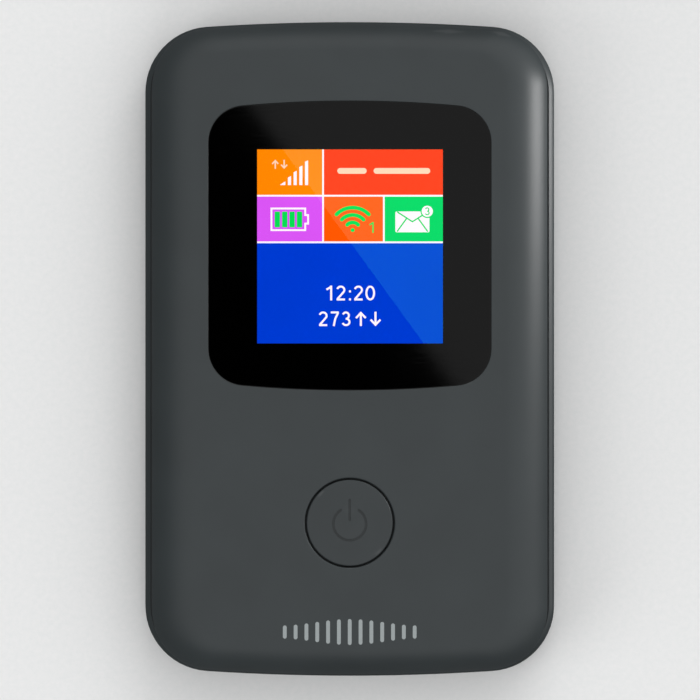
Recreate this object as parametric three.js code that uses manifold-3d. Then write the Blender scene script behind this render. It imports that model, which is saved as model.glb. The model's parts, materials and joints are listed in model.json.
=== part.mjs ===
// A pocket mobile hotspot: a bowed, soft-edged case with a small colour display behind a flush lens,
// a round power button, a removable battery and a clip-on back cover.
//
// Millimetres. +X runs to the right of the display, +Y towards the top edge and +Z out of the
// display. The origin is the centre of the flat back that the hotspot lies on.

import * as THREE from "three";
import { mergeVertices } from "three/addons/utils/BufferGeometryUtils.js";
import Module from "manifold-3d";

const wasm = await Module();
wasm.setup();

// ---------------------------------------------------------------- driving dimensions

const THICKNESS = 14;
const CASE = { width: 60, length: 96, corner: 9.6, bow: 320 };
const LENS = { width: 41.45, length: 42.4, corner: 5.4, bow: 177 };
const LENS_Y = 15.15;

const FIT = 0.05; // gap between pieces that touch
const CURVE_STEPS = 4; // each arc of an outline has twice as many sides
const ROLL_STEPS = 6;
const THROUGH = 1; // how far a cutting tool runs past the face that it opens

// The outer skin. The front stands in from the back's sides by 1 mm and from its ends by 0.25 mm.
// Insets are measured inwards from the case outline, and the front's from its own.
const FRONT_CASE = { width: CASE.width - 2, length: CASE.length - 0.5, corner: 8.7, bow: CASE.bow };
const SEAM = { z: 6, gap: 0.3 };
const FRONT = { wall: 1.3, face: 1.9, roll: 6, drop: 5 };
const BACK = { wall: 1.2, roll: 4.2, drop: 3.6 };
const HOUSING = { inset: 1.5, lipInset: 2.45, lipTop: 7.2, wall: 1.2, roll: 3.3, drop: 2.5, bottom: 1.5 };

// The stack behind the display, from the face down.
const LENS_TOP = THICKNESS - 0.06;
const LENS_BOTTOM = LENS_TOP - 1;
const TAPE = { top: LENS_BOTTOM - FIT, thickness: 0.15, band: 3.2 };
const POCKET_FLOOR = TAPE.top - TAPE.thickness - FIT;
const CAVITY_TOP = THICKNESS - FRONT.face;
const PICTURE = { width: 27.4, length: 28.6, y: 15.05 };
const WINDOW = { width: PICTURE.width + 2, length: PICTURE.length + 2 };
const GASKET = { top: CAVITY_TOP - FIT, thickness: 0.2, band: 1 };
const PANEL = { width: 30.4, length: 34.6, thickness: 1, top: GASKET.top - GASKET.thickness - FIT };
const BACKLIGHT = { width: 31.4, length: 35.6, thickness: 1, top: PANEL.top - PANEL.thickness - FIT };
const DISPLAY_TOP_Y = PICTURE.y + PICTURE.length / 2 + 2.3;

// The circuit board and what the battery leaves above it.
const BOARD = { inset: 3, top: 9.2, thickness: 1 };
const BOARD_BOTTOM = BOARD.top - BOARD.thickness;
const REAR_PARTS = 1.35; // height of the parts soldered over the battery bay

// The battery and its bay.
const BATTERY = { width: 46, length: 54, thickness: 4.6, y: -10.2, bottom: 1.35, head: 2 };
const BATTERY_END_Y = BATTERY.y + BATTERY.length / 2;
const BAY = { width: 46.6, length: 54.6, top: 6, floor: 0.7 };
const BAY_END_Y = BATTERY.y + BAY.length / 2;
const CONTACTS = { x: 12, pitch: 3, z: 4.2 };

// The power button, its switch and the reset switch.
const BUTTON = { y: -25.5, radius: 6.32, hole: 6.6, flange: 7.4, collar: 7.7, travel: 0.4 };
const SWITCH = { size: 5.2, height: 1.3, plunger: 1.35, travel: 0.25 };
const BUTTON_REACH = BOARD.top + FIT + SWITCH.height + 0.3 + (BUTTON.travel - SWITCH.travel) + 0.02;
const RESET = { x: 19.5, y: -12, width: 3.4, length: 2.8, plunger: 0.5 };

// Sockets.
const USB = { width: 7.5, height: 2.6, depth: 5.5, mouthY: -47.1, sheet: 0.3 };
const SIM = { x: -11, width: 12, length: 15, card: 0.66, chip: 0.1 };
const SIM_SOCKET = { width: 13.6, length: 12.5, y: 8.25, sheet: 0.2 };
const SD_SOCKET = { x: 10.5, width: 14, length: 14.5, y: 9.25, slot: 11.4, sheet: 0.2 };

// Fasteners.
const HOUSING_SCREW = { x: 22.2, topY: 39.6, bottomY: -41.9, radius: 0.8, head: 1.6, headHeight: 0.8 };
const HOUSING_SCREW_SEAT = 2.6;
const HOUSING_SCREW_TIP = 9.6;
const BOARD_SCREWS = [
  [-24.2, 22],
  [24.2, -6],
];
const BOARD_SCREW = { radius: 0.7, head: 1.4, headHeight: 0.6, tip: 11.2 };
const PILOT_GAP = 0.1;

// ---------------------------------------------------------------- materials

function material(color, roughness, metalness = 0) {
  return new THREE.MeshStandardMaterial({ color, roughness, metalness });
}

const SHELL = material(0x42474a, 0.45);
const HOUSING_PLASTIC = material(0x1b1d1f, 0.6);
const LENS_BLACK = material(0x050506, 0.08);
const TAPE_BLACK = material(0x111111, 0.9);
const FOAM = material(0x1c1c1e, 0.95);
const PANEL_GLASS = material(0x1449b8, 0.15);
const BACKLIGHT_WHITE = material(0xdcdfe2, 0.4);
const FLEX = material(0xa0651c, 0.4);
const CONNECTOR_WHITE = material(0xd8d2c0, 0.5);
const CONNECTOR_BLACK = material(0x202020, 0.5);
const BOARD_GREEN = material(0x0e4a2c, 0.4);
const SHIELD = material(0xb9bdc0, 0.3, 0.9);
const CHIP = material(0x17181a, 0.5);
const GOLD = material(0xd9a441, 0.3, 1);
const STEEL = material(0x9a9da0, 0.3, 1);
const CELL = material(0x2b2d30, 0.35, 0.2);
const CARD = material(0xe9e9e6, 0.5);
const SILICONE = material(0x9fb2c4, 0.8);

// ---------------------------------------------------------------- outlines

// Straight sides, bowed ends and round corners, moved in by inset.
function bowedOutline({ width, length, corner, bow }, inset = 0) {
  const bowCentre = length / 2 - bow;
  const cornerX = width / 2 - corner;
  const cornerY = bowCentre + Math.sqrt((bow - corner) ** 2 - cornerX ** 2);
  const turn = Math.atan2(cornerY - bowCentre, cornerX);
  const cornerRadius = corner - inset;
  const bowRadius = bow - inset;
  return new THREE.Shape()
    .absarc(cornerX, cornerY, cornerRadius, 0, turn)
    .absarc(0, bowCentre, bowRadius, turn, Math.PI - turn)
    .absarc(-cornerX, cornerY, cornerRadius, Math.PI - turn, Math.PI)
    .absarc(-cornerX, -cornerY, cornerRadius, Math.PI, Math.PI + turn)
    .absarc(0, -bowCentre, bowRadius, Math.PI + turn, 2 * Math.PI - turn)
    .absarc(cornerX, -cornerY, cornerRadius, -turn, 0);
}

function roundedRectangle(width, length, radius) {
  const x = width / 2 - radius;
  const y = length / 2 - radius;
  return new THREE.Shape()
    .absarc(x, y, radius, 0, Math.PI / 2)
    .absarc(-x, y, radius, Math.PI / 2, Math.PI)
    .absarc(-x, -y, radius, Math.PI, 1.5 * Math.PI)
    .absarc(x, -y, radius, 1.5 * Math.PI, 2 * Math.PI);
}

// ---------------------------------------------------------------- geometry, each standing on z = 0

function block(width, length, height) {
  return new THREE.BoxGeometry(width, length, height).translate(0, 0, height / 2);
}

function disc(radius, height, sides = 24) {
  return new THREE.CylinderGeometry(radius, radius, height, sides)
    .rotateX(Math.PI / 2)
    .translate(0, 0, height / 2);
}

function plate(shape, height, curveSteps = CURVE_STEPS) {
  return new THREE.ExtrudeGeometry(shape, {
    depth: height,
    bevelEnabled: false,
    curveSegments: curveSteps,
  });
}

// A slab of a bowed outline whose edges roll in by an elliptical arc at both ends.
function pillow(outline, inset, roll, drop, height) {
  return new THREE.ExtrudeGeometry(bowedOutline(outline, inset + roll), {
    depth: height - 2 * drop,
    bevelSize: roll,
    bevelThickness: drop,
    bevelSegments: ROLL_STEPS,
    curveSegments: CURVE_STEPS,
  }).translate(0, 0, drop);
}

// A side view drawn with its first coordinate along Y and its second along Z, made width wide along X.
function sideProfile(points, width) {
  const shape = new THREE.Shape(points.map(([y, z]) => new THREE.Vector2(y, z)));
  return new THREE.ExtrudeGeometry(shape, { depth: width, bevelEnabled: false })
    .rotateX(Math.PI / 2)
    .rotateZ(Math.PI / 2)
    .translate(-width / 2, 0, 0);
}

// ---------------------------------------------------------------- solids

function solid(geometry, x = 0, y = 0, z = 0) {
  const bare = geometry.clone().translate(x, y, z);
  bare.deleteAttribute("normal");
  bare.deleteAttribute("uv");
  const merged = mergeVertices(bare, 1e-4);
  return new wasm.Manifold(
    new wasm.Mesh({
      numProp: 3,
      vertProperties: merged.attributes.position.array,
      triVerts: new Uint32Array(merged.index.array),
    }),
  );
}

function join(first, ...others) {
  return others.reduce((sum, other) => sum.add(other), first);
}

function cut(first, ...tools) {
  return tools.reduce((rest, tool) => rest.subtract(tool), first);
}

function geometryOf(manifold) {
  const mesh = manifold.getMesh();
  const geometry = new THREE.BufferGeometry();
  geometry.setAttribute("position", new THREE.BufferAttribute(mesh.vertProperties, 3));
  geometry.setIndex(new THREE.BufferAttribute(mesh.triVerts, 1));
  geometry.computeVertexNormals();
  return geometry;
}

// A frame with a rectangular hole, standing on z = 0.
function ring(width, length, band, height) {
  const hole = solid(block(width - 2 * band, length - 2 * band, height + 2 * THROUGH), 0, 0, -THROUGH);
  return cut(solid(block(width, length, height)), hole);
}

// ---------------------------------------------------------------- scene graph

const hotspot = new THREE.Group();

function addGroup() {
  const group = new THREE.Group();
  hotspot.add(group);
  return group;
}

const backGroup = addGroup();
const housingGroup = addGroup();
const batteryGroup = addGroup();
const simGroup = addGroup();
const buttonGroup = addGroup();

function addPart(group, name, shape, look, x = 0, y = 0, z = 0) {
  const geometry = shape.isBufferGeometry ? shape : geometryOf(shape);
  const mesh = new THREE.Mesh(geometry, look);
  mesh.name = name;
  mesh.position.set(x, y, z);
  group.add(mesh);
  return mesh;
}

// ---------------------------------------------------------------- back cover

function usbOpening(bottom, top) {
  const outer = CASE.length / 2 + THROUGH;
  const inner = CASE.length / 2 - 4;
  const depth = outer - inner;
  return solid(block(USB.width + 1.2, depth, top - bottom), 0, -(outer + inner) / 2, bottom);
}

function backCover() {
  const rim = SEAM.z - SEAM.gap / 2;
  const outer = solid(pillow(CASE, 0, BACK.roll, BACK.drop, 2 * THICKNESS));
  const above = solid(block(2 * CASE.width, 2 * CASE.length, 2 * THICKNESS), 0, 0, rim);
  const cavity = solid(
    pillow(CASE, BACK.wall, BACK.roll - 0.8, BACK.drop - 1, 2 * THICKNESS),
    0,
    0,
    BACK.wall,
  );
  const nailNotch = solid(block(9, 3, 2), -17, -CASE.length / 2, rim - 0.9);
  let cover = cut(outer, above, cavity, nailNotch, usbOpening(SEAM.z - 0.9, THICKNESS));
  const bead = block(0.4, 6, 0.9);
  const beadX = CASE.width / 2 - BACK.wall;
  for (const side of [-1, 1]) {
    for (const y of [-28, 0, 28]) {
      cover = join(cover, solid(bead, side * beadX, y, rim - 1.3));
    }
  }
  return cover;
}

addPart(backGroup, "back_cover", backCover(), SHELL);

// ---------------------------------------------------------------- front cover

function screwPlaces() {
  const { x, topY, bottomY } = HOUSING_SCREW;
  return [
    [-x, topY],
    [x, topY],
    [-x, bottomY],
    [x, bottomY],
  ];
}

function frontCover() {
  const rim = SEAM.z + SEAM.gap / 2;
  const height = 2 * THICKNESS;
  const skin = pillow(FRONT_CASE, 0, FRONT.roll, FRONT.drop, height);
  const outer = solid(skin, 0, 0, THICKNESS - height);
  const below = solid(block(2 * CASE.width, 2 * CASE.length, height), 0, 0, rim - height);
  const cavity = solid(
    pillow(FRONT_CASE, FRONT.wall, FRONT.roll - FRONT.wall, FRONT.drop - 1.1, height),
    0,
    0,
    CAVITY_TOP - height,
  );
  let cover = cut(outer, below, cavity);

  // Screw bosses, the button's guide collar and the frame that locates the display.
  for (const [x, y] of screwPlaces()) {
    const bottom = HOUSING_SCREW_SEAT + 4.2;
    cover = join(cover, solid(disc(2.1, CAVITY_TOP - bottom + FIT, 16), x, y, bottom));
  }
  for (const [x, y] of BOARD_SCREWS) {
    cover = join(cover, solid(disc(1.7, CAVITY_TOP - BOARD.top, 16), x, y, BOARD.top + FIT));
  }
  const collarBottom = CAVITY_TOP - 1.2;
  cover = join(cover, solid(disc(BUTTON.collar + 1, 1.25, 32), 0, BUTTON.y, collarBottom));
  const nest = ring(BACKLIGHT.width + 2.3, BACKLIGHT.length + 2.3, 0.9, 1.9 + FIT);
  const displayY = DISPLAY_TOP_Y - BACKLIGHT.length / 2;
  cover = join(cover, nest.translate([0, displayY, CAVITY_TOP - 1.9]));
  const flexWay = solid(block(13.5, 4, 1.9), 0, displayY - BACKLIGHT.length / 2, CAVITY_TOP - 1.9);

  const pocket = solid(plate(bowedOutline(LENS, -0.1), 3), 0, LENS_Y, POCKET_FLOOR);
  const window = solid(
    plate(roundedRectangle(WINDOW.width, WINDOW.length, 0.8), 4, 1),
    0,
    PICTURE.y,
    CAVITY_TOP - THROUGH,
  );
  const buttonHole = solid(disc(BUTTON.hole, 8, 64), 0, BUTTON.y, CAVITY_TOP - 2);
  const collarBore = solid(disc(BUTTON.collar, 1.2 + THROUGH, 32), 0, BUTTON.y, collarBottom - THROUGH);
  cover = cut(cover, pocket, window, buttonHole, collarBore, flexWay, usbOpening(0, SEAM.z + 2.5));

  for (const [x, y] of screwPlaces()) {
    cover = cut(cover, solid(disc(HOUSING_SCREW.radius + PILOT_GAP, 5, 12), x, y, 5.5));
  }
  for (const [x, y] of BOARD_SCREWS) {
    cover = cut(cover, solid(disc(BOARD_SCREW.radius + PILOT_GAP, 3, 12), x, y, BOARD_SCREW.tip - 2.8));
  }
  return cover;
}

addPart(housingGroup, "front_cover", frontCover(), SHELL);

// ---------------------------------------------------------------- lens and display

const DISPLAY_Y = DISPLAY_TOP_Y - BACKLIGHT.length / 2;

addPart(
  housingGroup,
  "display_lens",
  plate(bowedOutline(LENS), LENS_TOP - LENS_BOTTOM),
  LENS_BLACK,
  0,
  LENS_Y,
  LENS_BOTTOM,
);

function lensTape() {
  const opening = solid(block(WINDOW.width + 1, WINDOW.length + 1, 1), 0, PICTURE.y - LENS_Y, -0.5);
  return cut(solid(plate(bowedOutline(LENS, 0.4), TAPE.thickness)), opening);
}

addPart(housingGroup, "lens_tape", lensTape(), TAPE_BLACK, 0, LENS_Y, TAPE.top - TAPE.thickness);
addPart(
  housingGroup,
  "lcd_gasket",
  ring(WINDOW.width + 2 * GASKET.band, WINDOW.length + 2 * GASKET.band, GASKET.band, GASKET.thickness),
  FOAM,
  0,
  PICTURE.y,
  GASKET.top - GASKET.thickness,
);
addPart(
  housingGroup,
  "lcd_panel",
  block(PANEL.width, PANEL.length, PANEL.thickness),
  PANEL_GLASS,
  0,
  DISPLAY_Y,
  PANEL.top - PANEL.thickness,
);
addPart(
  housingGroup,
  "lcd_backlight",
  block(BACKLIGHT.width, BACKLIGHT.length, BACKLIGHT.thickness),
  BACKLIGHT_WHITE,
  0,
  DISPLAY_Y,
  BACKLIGHT.top - BACKLIGHT.thickness,
);

const LCD_SOCKET = { y: -10.6, width: 14, length: 3.2, height: 1 };

// A ribbon of even thickness whose middle line drops in an S from the panel's edge to its socket.
function lcdFlex() {
  const start = DISPLAY_Y - PANEL.length / 2 - FIT;
  const end = LCD_SOCKET.y + LCD_SOCKET.length / 2 + FIT;
  const high = PANEL.top - PANEL.thickness / 2;
  const low = BOARD.top + FIT + LCD_SOCKET.height / 2;
  const steps = 10;
  const half = 0.08;
  const upper = [];
  const lower = [];
  for (let i = 0; i <= steps; i += 1) {
    const t = i / steps;
    const ease = t * t * (3 - 2 * t);
    const y = start + (end - start) * t;
    const z = high + (low - high) * ease;
    upper.push([y, z + half]);
    lower.unshift([y, z - half]);
  }
  return sideProfile([...lower, ...upper], 12);
}

function lcdSocket() {
  const mouth = solid(block(12.4, 2.2, 0.6), 0, LCD_SOCKET.length / 2, 0.2);
  return cut(solid(block(LCD_SOCKET.width, LCD_SOCKET.length, LCD_SOCKET.height)), mouth);
}

addPart(housingGroup, "lcd_flex", lcdFlex(), FLEX);
addPart(housingGroup, "lcd_connector", lcdSocket(), CONNECTOR_WHITE, 0, LCD_SOCKET.y, BOARD.top + FIT);
addPart(
  housingGroup,
  "lcd_connector_latch",
  block(13, 1.4, 0.5),
  CONNECTOR_BLACK,
  0,
  LCD_SOCKET.y - 0.6,
  BOARD.top + 2 * FIT + LCD_SOCKET.height,
);

// ---------------------------------------------------------------- circuit board

function mainBoard() {
  let board = solid(plate(bowedOutline(CASE, BOARD.inset), BOARD.thickness));
  const hole = THROUGH + BOARD.thickness + THROUGH;
  for (const [x, y] of screwPlaces()) {
    board = cut(board, solid(disc(2.5, hole, 16), x, y, -THROUGH));
  }
  for (const [x, y] of BOARD_SCREWS) {
    board = cut(board, solid(disc(BOARD_SCREW.radius + PILOT_GAP, hole, 12), x, y, -THROUGH));
  }
  return board;
}

addPart(housingGroup, "main_board", mainBoard(), BOARD_GREEN, 0, 0, BOARD_BOTTOM);

// A five-sided sheet-metal can, open on the side that meets the board.
function shieldCan(width, length, height, sheet = 0.2) {
  const inside = block(width - 2 * sheet, length - 2 * sheet, height);
  return cut(solid(block(width, length, height)), solid(inside, 0, 0, -sheet));
}

const FRONT_PARTS_Z = BOARD.top + FIT;
const REAR_PARTS_Z = BOARD_BOTTOM - FIT;

function addShieldedChip(place, shieldName, chips) {
  const { x, y, width, length, height, front } = place;
  const can = shieldCan(width, length, height);
  const mesh = addPart(housingGroup, shieldName, can, SHIELD, x, y, front ? FRONT_PARTS_Z : REAR_PARTS_Z);
  mesh.rotation.x = front ? 0 : Math.PI;
  for (const { name, size, thickness, dx } of chips) {
    const z = front ? FRONT_PARTS_Z : REAR_PARTS_Z - thickness;
    addPart(housingGroup, name, block(size, size, thickness), CHIP, x + dx, y, z);
  }
}

const FRONT_CAN = { width: 16, length: 21, height: 1.4, front: true };
addShieldedChip({ ...FRONT_CAN, x: -17, y: -27 }, "baseband_shield", [
  { name: "baseband_chip", size: 11, thickness: 0.9, dx: 0 },
]);
addShieldedChip({ ...FRONT_CAN, x: 17, y: -27 }, "power_shield", [
  { name: "power_chip", size: 6, thickness: 0.8, dx: -3.8 },
  { name: "memory_chip", size: 7, thickness: 0.8, dx: 3.6 },
]);
const REAR_CAN = { width: 20, length: 15, height: REAR_PARTS, front: false };
addShieldedChip({ ...REAR_CAN, x: -11.5, y: -27.5 }, "rf_shield", [
  { name: "rf_chip", size: 7, thickness: 0.8, dx: 0 },
]);
addShieldedChip({ ...REAR_CAN, x: 11.5, y: -27.5 }, "wifi_shield", [
  { name: "wifi_chip", size: 6, thickness: 0.8, dx: 0 },
]);
addPart(
  housingGroup,
  "thermal_pad",
  block(12, 13, CAVITY_TOP - FRONT_PARTS_Z - FRONT_CAN.height - 2 * FIT),
  SILICONE,
  -16.8,
  -28,
  FRONT_PARTS_Z + FRONT_CAN.height + FIT,
);

// ---------------------------------------------------------------- switches and the power button

const SWITCH_TOP = BOARD.top + FIT + SWITCH.height;

function powerSwitchBase() {
  const well = solid(disc(SWITCH.plunger + 0.15, SWITCH.height, 20), 0, 0, 0.45);
  return cut(solid(block(SWITCH.size, SWITCH.size, SWITCH.height)), well);
}

addPart(housingGroup, "power_switch_base", powerSwitchBase(), CONNECTOR_BLACK, 0, BUTTON.y, FRONT_PARTS_Z);
addPart(
  buttonGroup,
  "power_switch_plunger",
  disc(SWITCH.plunger, 0.8, 20),
  CONNECTOR_WHITE,
  0,
  BUTTON.y,
  SWITCH_TOP + 0.3 - 0.8,
);

// A hollow cap with a retaining flange behind the cover and a post that meets the switch.
function powerButton() {
  const profile = [
    [0, BUTTON_REACH],
    [1.5, BUTTON_REACH],
    [1.5, 12.9],
    [5.2, 12.9],
    [5.2, 11.35],
    [BUTTON.flange, 11.35],
    [BUTTON.flange, 11.95],
    [BUTTON.radius, 11.95],
    [BUTTON.radius, THICKNESS - 0.2],
    [BUTTON.radius - 0.2, THICKNESS],
    [0, THICKNESS],
  ];
  const points = profile.map(([radius, z]) => new THREE.Vector2(radius, z));
  return new THREE.LatheGeometry(points, 48).rotateX(Math.PI / 2);
}

addPart(buttonGroup, "power_button", powerButton(), SHELL, 0, BUTTON.y, 0);

function resetSwitchBase() {
  const well = solid(disc(RESET.plunger + 0.15, 0.9, 12), 0, 0, -0.1);
  return cut(solid(block(RESET.width, RESET.length, REAR_PARTS - 0.1)), well);
}

const RESET_BASE_Z = REAR_PARTS_Z - REAR_PARTS + 0.1;
addPart(
  housingGroup,
  "reset_switch_base",
  resetSwitchBase(),
  CONNECTOR_BLACK,
  RESET.x,
  RESET.y,
  RESET_BASE_Z,
);
addPart(
  housingGroup,
  "reset_switch_plunger",
  disc(RESET.plunger, 0.75, 12),
  CONNECTOR_WHITE,
  RESET.x,
  RESET.y,
  RESET_BASE_Z - 0.3,
);

// ---------------------------------------------------------------- sockets

function usbShell() {
  const inside = block(USB.width - 2 * USB.sheet, USB.depth, USB.height - 2 * USB.sheet);
  return cut(solid(block(USB.width, USB.depth, USB.height)), solid(inside, 0, -USB.sheet, USB.sheet));
}

const USB_Y = USB.mouthY + USB.depth / 2;
const USB_Z = REAR_PARTS_Z - USB.height;
addPart(housingGroup, "usb_socket_shell", usbShell(), STEEL, 0, USB_Y, USB_Z);
addPart(
  housingGroup,
  "usb_socket_tongue",
  block(3.9, 4.1, 0.7),
  CONNECTOR_BLACK,
  0,
  USB_Y + 0.2,
  USB_Z + USB.height - USB.sheet - 0.7 - 0.5,
);

// A flat card cage of thin sheet, open towards -Y.
function cardCage(width, length, slotWidth, sheet) {
  const slot = block(slotWidth, length, REAR_PARTS - 2 * sheet);
  return cut(solid(block(width, length, REAR_PARTS)), solid(slot, 0, -sheet * 2, sheet));
}

const CAGE_Z = REAR_PARTS_Z - REAR_PARTS;
addPart(
  housingGroup,
  "sim_socket",
  cardCage(SIM_SOCKET.width, SIM_SOCKET.length, SIM.width + 0.4, SIM_SOCKET.sheet),
  STEEL,
  SIM.x,
  SIM_SOCKET.y,
  CAGE_Z,
);
addPart(
  housingGroup,
  "sd_socket",
  cardCage(SD_SOCKET.width, SD_SOCKET.length, SD_SOCKET.slot, SD_SOCKET.sheet),
  STEEL,
  SD_SOCKET.x,
  SD_SOCKET.y,
  CAGE_Z,
);

// The card lies with its cut corner at the inner end.
function simOutline() {
  const x = SIM.width / 2;
  const y = SIM.length / 2;
  const bevel = 2.5;
  return new THREE.Shape([
    new THREE.Vector2(-x, -y),
    new THREE.Vector2(x, -y),
    new THREE.Vector2(x, y - bevel),
    new THREE.Vector2(x - bevel, y),
    new THREE.Vector2(-x, y),
  ]);
}

const SIM_Y = SIM_SOCKET.y + SIM_SOCKET.length / 2 - 2 * SIM_SOCKET.sheet - FIT - SIM.length / 2;
const SIM_Z = CAGE_Z + SIM_SOCKET.sheet + FIT;
addPart(simGroup, "sim_card", plate(simOutline(), SIM.card), CARD, SIM.x, SIM_Y, SIM_Z);
addPart(
  simGroup,
  "sim_chip",
  block(9, 9, SIM.chip),
  GOLD,
  SIM.x,
  SIM_Y + 1.5,
  SIM_Z + SIM.card + 0.02,
);

// ---------------------------------------------------------------- battery and its contacts

function batteryConnector() {
  const height = REAR_PARTS_Z - 2.9;
  const pocket = solid(block(3 * CONTACTS.pitch, 2.6, 1.6), 0, -1, CONTACTS.z - 2.9 - 0.8);
  return cut(solid(block(11, 4, height)), pocket);
}

const CONNECTOR_Y = BAY_END_Y + BAY.floor + 0.8 + 2;
addPart(
  housingGroup,
  "battery_connector",
  batteryConnector(),
  CONNECTOR_BLACK,
  CONTACTS.x,
  CONNECTOR_Y,
  2.9,
);

// A spring finger: a flat tail that ends in a round nose against the battery's pad.
function contactFinger() {
  const noseY = BATTERY_END_Y + FIT;
  const tailY = CONNECTOR_Y - 0.4;
  const nose = 0.4;
  const points = [
    [tailY, -0.2],
    [tailY, 0.2],
    [noseY + 2 * nose, 0.2],
  ];
  for (let i = 0; i <= 6; i += 1) {
    const angle = (Math.PI / 6) * i;
    points.push([noseY + nose - nose * Math.sin(angle), nose * Math.cos(angle)]);
  }
  points.push([noseY + 2 * nose, -0.2]);
  return sideProfile(points.reverse(), 1.2);
}

function batteryCell() {
  const length = BATTERY.length - BATTERY.head - FIT;
  const side = roundedRectangle(BATTERY.width, BATTERY.thickness, 1.6);
  return new THREE.ExtrudeGeometry(side, { depth: length, bevelEnabled: false, curveSegments: 3 })
    .rotateX(Math.PI / 2)
    .translate(0, length / 2, BATTERY.thickness / 2);
}

function batteryHead() {
  const side = roundedRectangle(BATTERY.width, BATTERY.thickness, 1.6);
  const cap = new THREE.ExtrudeGeometry(side, {
    depth: BATTERY.head,
    bevelEnabled: false,
    curveSegments: 3,
  })
    .rotateX(Math.PI / 2)
    .translate(0, BATTERY.head, BATTERY.thickness / 2);
  let head = solid(cap);
  for (const step of [-1, 0, 1]) {
    const well = block(2.3, 0.4, 2.1);
    const z = CONTACTS.z - BATTERY.bottom - 1.05;
    head = cut(head, solid(well, CONTACTS.x + step * CONTACTS.pitch, BATTERY.head, z));
  }
  return head;
}

const CELL_Y = BATTERY.y - (BATTERY.head + FIT) / 2;
addPart(batteryGroup, "battery_cell", batteryCell(), CELL, 0, CELL_Y, BATTERY.bottom);
addPart(
  batteryGroup,
  "battery_head",
  batteryHead(),
  CONNECTOR_BLACK,
  0,
  BATTERY_END_Y - BATTERY.head,
  BATTERY.bottom,
);

[-1, 0, 1].forEach((step, i) => {
  const x = CONTACTS.x + step * CONTACTS.pitch;
  const pad = block(2.2, 0.15 - FIT, 2);
  addPart(housingGroup, `battery_contact_${i + 1}`, contactFinger(), GOLD, x, 0, CONTACTS.z);
  addPart(batteryGroup, `battery_pad_${i + 1}`, pad, GOLD, x, BATTERY_END_Y - 0.05, CONTACTS.z - 1);
});

// ---------------------------------------------------------------- rear housing

function rearHousing() {
  const { inset, lipInset, lipTop, wall, roll, drop, bottom } = HOUSING;
  const tall = 2 * THICKNESS;
  const shoulder = SEAM.z + FIT;
  const body = solid(pillow(CASE, inset, roll, drop, tall), 0, 0, bottom);
  const aboveBody = solid(block(2 * CASE.width, 2 * CASE.length, tall + 2), 0, 0, shoulder);
  const lipPlate = plate(bowedOutline(CASE, lipInset), lipTop - shoulder + THROUGH);
  const lip = solid(lipPlate, 0, 0, shoulder - THROUGH);
  let housing = join(cut(body, aboveBody), lip);

  // The hollow that faces the board, less the walls of the battery bay and the screw posts.
  let hollow = solid(pillow(CASE, inset + 1.7, roll - 0.7, drop - 1, tall), 0, 0, bottom + wall);
  const bayBlock = block(BAY.width + 2 * wall, BAY.length + 2 * wall, BAY.top + BAY.floor);
  hollow = cut(hollow, solid(bayBlock, 0, BATTERY.y, 0));
  for (const [x, y] of screwPlaces()) {
    hollow = cut(hollow, solid(disc(2.4, BAY.top + BAY.floor, 16), x, y, 0));
  }
  const bay = solid(block(BAY.width, BAY.length, BAY.top), 0, BATTERY.y, 0);
  const prySlot = solid(block(14, 3, 3.2), 0, BATTERY.y - BAY.length / 2, 0);
  const aboveFloor = solid(plate(bowedOutline(CASE, inset + 1.7), 3), 0, 0, BAY.top + BAY.floor);
  housing = cut(housing, hollow, bay, prySlot, aboveFloor);

  // Openings: both card sockets, the reset pin, the battery contacts and the data socket.
  const floor = BAY.top - THROUGH;
  const simWindow = solid(block(SIM.width + 2.4, 23, 3), SIM.x, SIM_SOCKET.y - 14.5, floor);
  const sdWindow = solid(block(SD_SOCKET.slot + 1.6, 15, 3), SD_SOCKET.x, SD_SOCKET.y - 13, floor);
  const resetHole = solid(disc(0.9, 3, 16), RESET.x, RESET.y, floor);
  const contactWay = block(3 * CONTACTS.pitch + 0.6, 4, 2);
  const contactWindow = solid(contactWay, CONTACTS.x, BAY_END_Y + 1, CONTACTS.z - 1);
  const usb = usbOpening(SEAM.z - 0.8, THICKNESS);
  housing = cut(housing, simWindow, sdWindow, resetHole, contactWindow, usb);

  for (const [x, y] of screwPlaces()) {
    const way = disc(HOUSING_SCREW.radius + 0.2, tall, 12);
    const counterbore = disc(HOUSING_SCREW.head + 0.3, HOUSING_SCREW_SEAT, 16);
    const bossSeat = disc(2.3, THROUGH, 16);
    housing = cut(
      housing,
      solid(way, x, y, 0),
      solid(counterbore, x, y, 0),
      solid(bossSeat, x, y, BAY.top + BAY.floor),
    );
  }
  return housing;
}

addPart(housingGroup, "rear_housing", rearHousing(), HOUSING_PLASTIC);

// ---------------------------------------------------------------- antennas

const CARRIER = { width: 34, length: 9, y: 37, bottom: 3.05, wall: 1 };

function antennaCarrier() {
  const height = REAR_PARTS_Z - CARRIER.bottom;
  const inner = block(CARRIER.width - 2 * CARRIER.wall, CARRIER.length - 2 * CARRIER.wall, height);
  return cut(solid(block(CARRIER.width, CARRIER.length, height)), solid(inner, 0, 0, CARRIER.wall));
}

// A stamped plate under the carrier, slotted into a meander, with two tabs that meet the spring clips.
function lteAntenna() {
  let pattern = solid(block(CARRIER.width - 2, CARRIER.length - 1, 0.12));
  const slots = 5;
  for (let i = 0; i < slots; i += 1) {
    const side = i % 2 === 0 ? 1 : -1;
    const x = (i - (slots - 1) / 2) * 5.6;
    pattern = cut(pattern, solid(block(1, CARRIER.length - 2.5, 1), x, side * 1.2, -0.5));
  }
  for (const side of [-1, 1]) {
    pattern = join(pattern, solid(block(2, 4, 0.12), side * 3, -CARRIER.length / 2 - 1, 0));
  }
  return pattern;
}

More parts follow.
